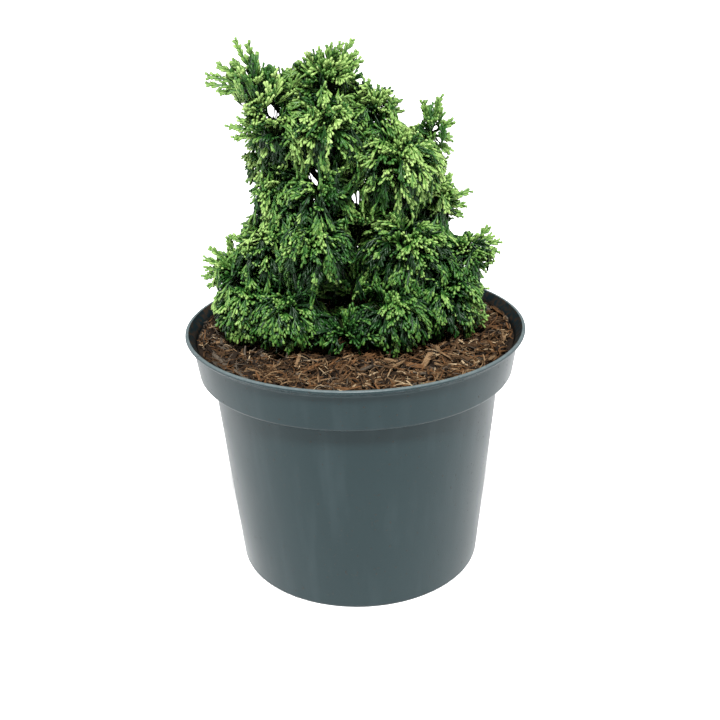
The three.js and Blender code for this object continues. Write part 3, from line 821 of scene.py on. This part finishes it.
# the widest and longest rib whose spray fits, or none
def fittedRib(mass, spray, mingles):
    for reach in reaches:
        for width in widths:
            line = Rib(mass, spray, reach, width)
            places, _ = line.blade(outlineAngles, outlineReaches)
            if (inCrown(places, foliage["overreach"]) if mingles else inSpace(mass, places)).all():
                return line
    return None


findPartings()


greens = [  # from the shaded middle of the crown out to the new tips
    ("greenDeepest", rgb(0.003, 0.017, 0.003)),
    ("greenShade", rgb(0.008, 0.040, 0.005)),
    ("greenOld", rgb(0.022, 0.076, 0.011)),
    ("greenLeaf", rgb(0.059, 0.132, 0.024)),
    ("greenFresh", rgb(0.108, 0.194, 0.044)),
    ("greenBright", rgb(0.164, 0.260, 0.068)),
    ("greenTip", rgb(0.216, 0.316, 0.094)),
    ("greenNew", rgb(0.256, 0.362, 0.128)),
]

# rings along the length, how wide each is, and from where to where the tone goes from foot to tip
fingerShape = {
    "rings": (0.0, 0.5, 0.88), "swell": (0.46, 0.82, 1.04), "flat": 0.8,
    "brightening": (-0.1, 0.8), "scatter": 0.4,
}
twigletShape = {
    "rings": (0.0, 0.4, 0.72, 0.95), "swell": (0.5, 0.62, 0.82, 1.12), "flat": 0.8,
    "brightening": (0.45, 0.95), "scatter": 0.4,
}


def leafFinish(name, color):
    look = Finish(name)
    return look.surface({"Base Color": color, "Roughness": 0.4, "Specular IOR Level": 0.21})


# the fingers that make up one piece: a bent line each, its upper side, half its width and its two tones
class Fingers:
    def __init__(self):
        self.rows = []

    def add(self, starts, middles, ends, normals, radii, baseTones, tipTones):
        self.rows.append(np.column_stack([starts, middles, ends, normals, radii, baseTones, tipTones]))

    def count(self):
        return sum(len(rows) for rows in self.rows)

    # four-sided, flattened, swelling at each pair of scales, with a blunt tip
    def mesh(self, shape, random):
        rows = np.concatenate(self.rows)
        start, middle, end, normal = rows[:, 0:3], rows[:, 3:6], rows[:, 6:9], rows[:, 9:12]
        radius, baseTone, tipTone = rows[:, 12:13], rows[:, 13], rows[:, 14]
        rings = []
        for t, swell in zip(shape["rings"], shape["swell"]):
            place = bentPlace(start, middle, end, t)
            along = bentHeading(start, middle, end, t)
            side = unit(np.cross(along, normal))
            over = np.cross(side, along)
            wide = radius * swell
            thick = wide * shape["flat"]
            rings += [place + side * wide, place + over * thick, place - side * wide, place - over * thick]
        points = np.stack(rings + [end], 1)
        count = len(shape["rings"])
        last = 4 * (count - 1)
        blunt = [(last + corner, last + (corner + 1) % 4, last + 4) for corner in range(4)]
        bands = np.repeat(np.arange(count), [8] * (count - 1) + [4])
        edges = np.append(shape["rings"], 1)
        halfway = (edges[:-1] + edges[1:]) / 2
        share = np.interp(halfway, shape["brightening"], (0, 1))[bands]
        tones = baseTone[:, None] + (tipTone - baseTone)[:, None] * share[None]
        tones += random.uniform(-shape["scatter"], shape["scatter"], (len(rows), 1))
        tones = np.clip(np.round(tones), 0, len(greens) - 1).astype(int)
        faces = copiedFaces(tubePattern(count, 4) + blunt, len(rows), points.shape[1])
        return points.reshape(-1, 3), faces, tones.ravel()


sprig = {
    "firstRoot": 0.24, "lastRoot": 0.97,  # shares of the rib
    "length": (8.5, 12.0), "aside": (0.3, 0.85), "outward": (-0.1, 0.4), "offset": 2.5,
    "radius": (0.62, 0.74), "arch": (0.02, 0.16), "roll": 0.32, "hang": 0.75,
    "stations": (0.1, 0.26, 0.42, 0.58, 0.74, 0.9),  # where the side fingers leave, on alternate sides
    "forkAngle": (0.5, 0.8), "fingerLength": (4.4, 6.6), "fingerRadius": (0.70, 0.88), "lift": 0.12,
}


# the fingers along some twiglets, on alternate sides, which turn forward as they go out; tells which of
# the twiglets bear at least two, and the others bear none
def addFingers(fingers, lines, kind, random, keep, down, tones):
    starts, middles, ends, normals = lines
    number = len(starts)
    low, high = tones
    grown = []
    for order, station in enumerate(kind["stations"]):
        s = station + random.uniform(-0.05, 0.05, (number, 1))
        place = bentPlace(starts, middles, ends, s)
        along = bentHeading(starts, middles, ends, s)
        across = unit(np.cross(along, normals))
        sign = np.where((np.arange(number) // 2 + order) % 2 == 0, 1.0, -1.0)
        angle = sign * random.uniform(*kind["forkAngle"], number)
        way = along * np.cos(angle)[:, None] + across * np.sin(angle)[:, None]
        way = unit(way + normals * random.normal(0.05, kind["lift"], (number, 1)) + down)
        reach = random.uniform(*kind["fingerLength"], (number, 1)) * (1.1 - 0.4 * s)  # shorter farther out
        tip = place + unit(way + along * 0.5) * reach
        bend = place + way * reach * 0.55
        radii = random.uniform(*kind["fingerRadius"], number)
        bright = high + random.uniform(-0.9, 0.5, number)
        grown.append((keep(tip) & keep(bend), (place, bend, tip, normals, radii, low + 1, bright)))
    enough = sum(ok.astype(int) for ok, rows in grown) >= 2
    for ok, rows in grown:
        fingers.add(*(row[ok & enough] for row in rows))
    return enough


# one spray: twiglets on alternate sides of the rib, each turned its own way, with fingers on both sides
def growSpray(line, random, fingers, twiglets, keep, hang, tones, number):
    sign = np.where(np.arange(number) % 2 == 0, 1.0, -1.0)[:, None]
    sign[-1] = 0
    roots = np.linspace(sprig["firstRoot"], sprig["lastRoot"], number) + random.uniform(-0.03, 0.03, number)
    heading = line.heading(roots)
    outward = unit(np.cross(line.side, heading))
    aside = line.side * sign
    down = np.array([0, 0, -hang * sprig["hang"]])
    way = heading + aside * random.uniform(*sprig["aside"], (number, 1))
    way = unit(way + outward * random.uniform(*sprig["outward"], (number, 1)) + down)
    length = random.uniform(*sprig["length"], (number, 1))
    starts = line.at(roots) + aside * random.uniform(0, sprig["offset"], (number, 1))
    middles = starts + unit(way + outward * random.uniform(*sprig["arch"], (number, 1)) * 2) * length * 0.5
    ends = starts + (way + down * 0.4) * length
    roll = random.normal(0, sprig["roll"], (number, 1))
    flat = unit(outward - way * (outward * way).sum(1, keepdims=True))
    normals = flat * np.cos(roll) + np.cross(way, flat) * np.sin(roll)
    ok = keep(ends) & keep(middles)
    if ok.any():
        lines = starts[ok], middles[ok], ends[ok], normals[ok]
        growTwiglets(lines, random, fingers, twiglets, keep, down, tones)
    return ok.any()


# the twiglets themselves, each painted darker the more it is hemmed in, as shade and older leaves, with their
# fingers
def growTwiglets(lines, random, fingers, twiglets, keep, down, tones):
    number = len(lines[0])
    hemmed = np.clip(crowding(lines[2]) - crown["openAt"], 0, crown["hemmedMost"]) + recessed(lines[2])
    low = tones[0] - 0.5 * crown["darkening"] * hemmed + random.normal(0, 0.35, number)
    high = tones[1] - crown["darkening"] * hemmed + random.normal(0, 0.5, number)
    bears = addFingers(fingers, lines, sprig, random, keep, down, (low, high))
    rows = (*lines, random.uniform(*sprig["radius"], number), low, high)
    twiglets.add(*(row[bears] for row in rows))


twigRadii = {"stem": (1.5, 0.8), "shoot": (0.8, 0.6), "rib": (0.42, 0.3)}  # at the foot and the tip


class Twigs:
    def __init__(self):
        self.rows = []

    def add(self, start, middle, end, kind):
        self.rows.append((*start, *middle, *end, *twigRadii[kind]))


def twigMesh(rows, sides=5, steps=5):
    rows = np.array(rows)
    start, middle, end = rows[:, 0:3], rows[:, 3:6], rows[:, 6:9]
    across = unit(np.cross(unit(end - start), np.array([0.21, 0.9, 0.37])))
    points = []
    for t in np.linspace(0, 1, steps):
        place = bentPlace(start, middle, end, t)
        along = bentHeading(start, middle, end, t)
        side = unit(across - along * (across * along).sum(1, keepdims=True))
        other = np.cross(along, side)
        radius = (rows[:, 9] * (1 - t) + rows[:, 10] * t)[:, None]
        for i in range(sides):
            angle = i * 2 * math.pi / sides
            points.append(place + side * radius * math.cos(angle) + other * radius * math.sin(angle))
    faces = copiedFaces(tubePattern(steps, sides), len(rows), sides * steps)
    return np.stack(points, 1).reshape(-1, 3), faces


# the place at a share of a stem's run
def stemPoint(name, share):
    places = np.array(stemPlaces[name], float)
    steps = np.linalg.norm(np.diff(places, axis=0), axis=1)
    run = np.concatenate([[0], np.cumsum(steps)]) / steps.sum()
    return np.array([np.interp(share, run, places[:, k]) for k in range(3)])


# the mass's own stem runs on from its bough, or from the bearing stem, to the middle
def addMassStem(mass, twigs):
    start = stemPoint(mass.bearer, mass.fork)
    toward = unit(mass.centre - start)
    reach = 0.8 / np.linalg.norm(toward / mass.size)
    length = np.linalg.norm(mass.centre - start)
    foot = start + toward * max(0, length - reach - 1)
    twigs.add(foot, (foot + mass.centre) / 2 + np.array([0, 0, 0.6]), mass.centre, "stem")


# how the crown grows
crown = {
    "seed": 5,
    # the source's sprays, extra ones among them and shaded ones under them: how many for each one of the
    # source, how far their ribs reach, how much wider and more rolled they are, their twiglets, and the
    # tones of foot and tip
    "layers": (
        (1, None, 1, 1, 8, (1.6, 5.6)),
        (2.4, (0.74, 1.0), 1, 3, 8, (1.2, 5.2)),
        (1.6, (0.5, 0.82), 1.5, 2.5, 5, (-0.8, 1.4)),
    ),
    "vigour": 0.45,  # how much the sprays differ, in tones
    "tipReach": 1.0,  # how far out of a mass its leaves may go
    "paintedLightUpward": 0.032, "middleHeight": 225,  # painted light: the upper sprays are lighter, and the lower darker, by so many tones a millimetre from the middle height
    "openAt": 0.28, "hemmedMost": 0.9, "darkening": 4.4,  # tones lost between masses, as painted shade and older leaves
    "recess": 0.6,  # painted shade: the most by which the leaves are darker round the places below, and how far round
    "recesses": (
        ((-3, -14, 213), 11),
        ((3, -14, 227), 7),
        ((-4, -18, 184), 11),
        ((-11, -28, 158), 9),
        ((-15, -28, 155), 7),
        ((-1, -16, 199), 9),
        ((10, -5, 255), 9),
        ((-35, -16, 247), 6),
    ),
    "tufts": 30, "tuftTones": (0.9, 4.0),  # upright twiglets that clothe the middle of a mass
    "lighter": {  # tones, of the foot and of the tip
        "top_left": (0.9, 0.1), "top_bridge": (0.2, -0.4), "crown": (0.0, -0.7), "right_horn": (2.2, 1.2),
        "right_mid": (0.2, 0.2), "right_outer": (0.8, 0.5), "right_skirt": (0.2, 0.1),
        "front_left": (-0.3, -0.4), "left_side": (1.2, 0.8), "left_tip": (1.5, 1.0), "low_left": (0.7, 0.6),
        "low_front_left": (0.2, 0.1), "low_front": (-0.2, -0.3), "low_front_right": (-0.2, -0.2),
    },
    "groups": {
        "top": ("top_left", "top_bridge", "crown", "right_shoulder", "upper_front", "left_shelf"),
        "right": ("right_horn", "right_mid", "right_outer", "right_skirt", "right_tip"),
        "left": ("left_flank", "waist_front", "front_left", "left_side", "left_tip"),
        "low": ("low_left", "low_front_left", "low_front", "low_front_right", "low_right"),
        "backUpper": ("heart", "back_top", "back_left_upper", "back_right_upper"),
        "backLower": ("back_left", "back_middle", "back_right"),
    },
    "cores": {
        "top": ("highCore",), "right": ("rightCore",), "left": ("leftCore",), "low": ("lowCore",),
        "backUpper": ("middleCore",), "backLower": (),
    },
}


# the long shoots
shoot = {
    "foot": 0.35, "radius": 0.7, "tones": (1.4, 4.6),
    "stations": tuple(np.linspace(0.16, 0.9, 11)),
    "forkAngle": (0.4, 0.75), "fingerLength": (3.6, 5.4), "fingerRadius": (0.72, 0.88), "lift": 0.25,
}


# a long shoot that stands out of the outline, with short fingers along both its sides
def growShoot(mass, angle, reach, random, fingers, twiglets, twigs):
    along = np.array([math.cos(math.radians(angle)), 0, math.sin(math.radians(angle))])
    start = mass.centre + along * reach * shoot["foot"]
    end = mass.centre + along * reach
    normal = unit(np.cross(along, np.cross(np.array([0.2, -1, 0.5]), along)))
    middle = (start + end) / 2 + np.array([0, 0, 0.06]) * np.linalg.norm(end - start)
    twigs.add(mass.centre, (mass.centre + start) / 2 + np.array([0, 0, 1.5]), start, "shoot")
    lines = [row[None] for row in (start, middle, end, normal)]
    low, high = np.array(shoot["tones"])[:, None]
    twiglets.add(*lines, np.array([shoot["radius"]]), low, high)
    addFingers(fingers, lines, shoot, random, clearOfPot, np.zeros(3), (low, high))


# twiglets that stand up round the middle of a mass
def growTufts(mass, random, fingers, twiglets, keep):
    number = crown["tufts"]
    way = unit(random.normal(0, 1, (number, 3)) * (1, 1, 0.6) + (0, 0, 0.5))
    starts = mass.centre + way * mass.size * random.uniform(0.05, 0.5, (number, 1))
    way = unit(way + (0, -0.2, 0.5))
    ends = starts + way * random.uniform(*sprig["length"], (number, 1))
    normals = unit(np.cross(way, random.normal(0, 1, (number, 3))))
    middles = (starts + ends) / 2 + normals * 0.6
    ok = keep(ends)
    lines = starts[ok], middles[ok], ends[ok], normals[ok]
    growTwiglets(lines, random, fingers, twiglets, keep, np.zeros(3), crown["tuftTones"])


# everything that one mass bears
def growMass(mass, random, fingers, twiglets, twigs):
    count = sprayCount(mass)

    def keep(points):
        return inCrown(points, crown["tipReach"])

    isCore = mass.index >= len(massRows)
    ownLow, ownHigh = crown["lighter"].get(mass.name, (0, 0))
    for depth, (share, extent, wider, rolled, number, (low, high)) in enumerate(crown["layers"]):
        if isCore and depth < 2:
            continue
        for spray in spraysOf(mass, round(count * share), 1000 * (depth + 1) + mass.index):
            direction, reach, width, roll = spray
            if extent:
                reach *= random.uniform(*extent)
            line = fittedRib(mass, (direction, reach, width * wider, roll * rolled), depth > 0)
            if line is None:
                continue
            vigour = random.normal(0, crown["vigour"])
            # sprays painted lighter above the middle height and darker below, for light from above
            lit = crown["paintedLightUpward"] * (line.end[2] - crown["middleHeight"])
            tones = (low + vigour + lit + ownLow, high + vigour + 0.6 * lit + ownHigh)
            if growSpray(line, random, fingers, twiglets, keep, mass.droop, tones, number):
                twigs.add(line.at(0.0), line.at(0.25), line.at(0.55), "rib")
    growTufts(mass, random, fingers, twiglets, keep)
    for angle, reach in leaders.get(mass.name, ()):
        growShoot(mass, angle, reach, random, fingers, twiglets, twigs)
    if not isCore:
        addMassStem(mass, twigs)


# points, faces and tones of several meshes as one
def joinedMeshes(meshes):
    offset, points, faces, tones = 0, [], [], []
    for somePoints, someFaces, someTones in meshes:
        points.append(somePoints)
        faces.append(someFaces + offset)
        tones.append(someTones)
        offset += len(somePoints)
    return np.concatenate(points), np.concatenate(faces), np.concatenate(tones)


def twigFinish():
    look = Finish("twigBark")
    # very dark olive for young shoots, painted darker still as shade inside the crown
    color = look.mix(look.noise(1.1, 3.0), rgb(0.003, 0.007, 0.002), rgb(0.010, 0.014, 0.005))
    return look.surface({"Base Color": color, "Roughness": 0.8, "Specular IOR Level": 0.0})


def growCrown():
    random = np.random.RandomState(crown["seed"])
    leafFinishes = [leafFinish(*green) for green in greens]
    twigMaterial = twigFinish()
    byName = {mass.name: mass for mass in masses + cores}
    total = 0
    for group, names in crown["groups"].items():
        fingers, twiglets, twigs = Fingers(), Fingers(), Twigs()
        for name in names + crown["cores"][group]:
            growMass(byName[name], random, fingers, twiglets, twigs)
        meshes = [fingers.mesh(fingerShape, random), twiglets.mesh(twigletShape, random)]
        points, faces, tones = joinedMeshes(meshes)
        leaves = newPiece(group + "Leaves", points, faces, leafFinishes, tones)
        settle(leaves, [name + "_mass" for name in names])
        points, faces = twigMesh(twigs.rows)
        wood = newPiece(group + "Twigs", points, faces, [twigMaterial])
        settle(wood, [])
        total += len(leaves.data.polygons) + len(faces)
        print("grown", group, fingers.count(), "fingers", len(leaves.data.polygons), "faces")
    print("crown faces", total)


growCrown()


# floor, light and camera
studio = {
    "floor": 30000, "world": 0.12,
    "sun": (0.4, 58, 8.8, 12),  # degrees round from the camera and up, strength, and degrees of spread
    "lights": (  # place, width, height and power, all aimed at the pot
        ("leftBox", (-1150, -250, 420), 500, 1300, 16),
        ("rightBox", (1150, -250, 420), 500, 1300, 16),
    ),
    "aim": (0, 0, 130),
    "position": (0, -523.6, 340.6), "target": (2.2, 0, 119.3), "roll": -1.32, "lens": 49.55,  # the camera
}


def buildStudio():
    half = studio["floor"] / 2
    look = Finish("paleFloor")
    color = look.mix(look.noise(400, 2.0), rgb(0.88, 0.88, 0.88), rgb(0.91, 0.91, 0.91))
    material = look.surface({"Base Color": color, "Roughness": 0.7})
    corners = np.array([(-half, -half, 0), (half, -half, 0), (half, half, 0), (-half, half, 0)])
    floor = newPiece("floor", corners, np.array([[0, 1, 2, 3]]), [material], smooth=False)
    world = bpy.data.worlds.new("paleWorld")
    world.use_nodes = True
    background = world.node_tree.nodes["Background"]
    background.inputs["Color"].default_value = rgb(1, 1, 1)
    background.inputs["Strength"].default_value = studio["world"]
    bpy.context.scene.world = world
    for name, place, width, height, power in studio["lights"]:
        lamp = bpy.data.lights.new(name, "AREA")
        lamp.shape = "RECTANGLE"
        lamp.size = width * mm
        lamp.size_y = height * mm
        lamp.energy = power
        holder = linked(name, lamp)
        holder.location = Vector(place) * mm
        aim = Vector(studio["aim"]) * mm - holder.location
        holder.rotation_euler = aim.to_track_quat("-Z", "Y").to_euler()
    azimuth, height, strength, spread = studio["sun"]
    sun = bpy.data.lights.new("keyLight", "SUN")
    sun.energy = strength
    sun.angle = math.radians(spread)
    key = linked("keyLight", sun)
    key.rotation_euler = (math.radians(90 - height), 0, math.radians(azimuth))
    camera = linked("camera", bpy.data.cameras.new("camera"))
    camera.data.lens = studio["lens"]
    camera.data.sensor_width = 36
    camera.data.clip_start = 0.01
    camera.location = Vector(studio["position"]) * mm
    sight = (Vector(studio["target"]) * mm - camera.location).to_track_quat("-Z", "Y")
    camera.rotation_mode = "QUATERNION"
    camera.rotation_quaternion = sight @ Quaternion((0, 0, 1), math.radians(studio["roll"]))
    bpy.context.scene.camera = camera
    bpy.context.scene.view_settings.view_transform = "Standard"


buildStudio()

print("scene built")
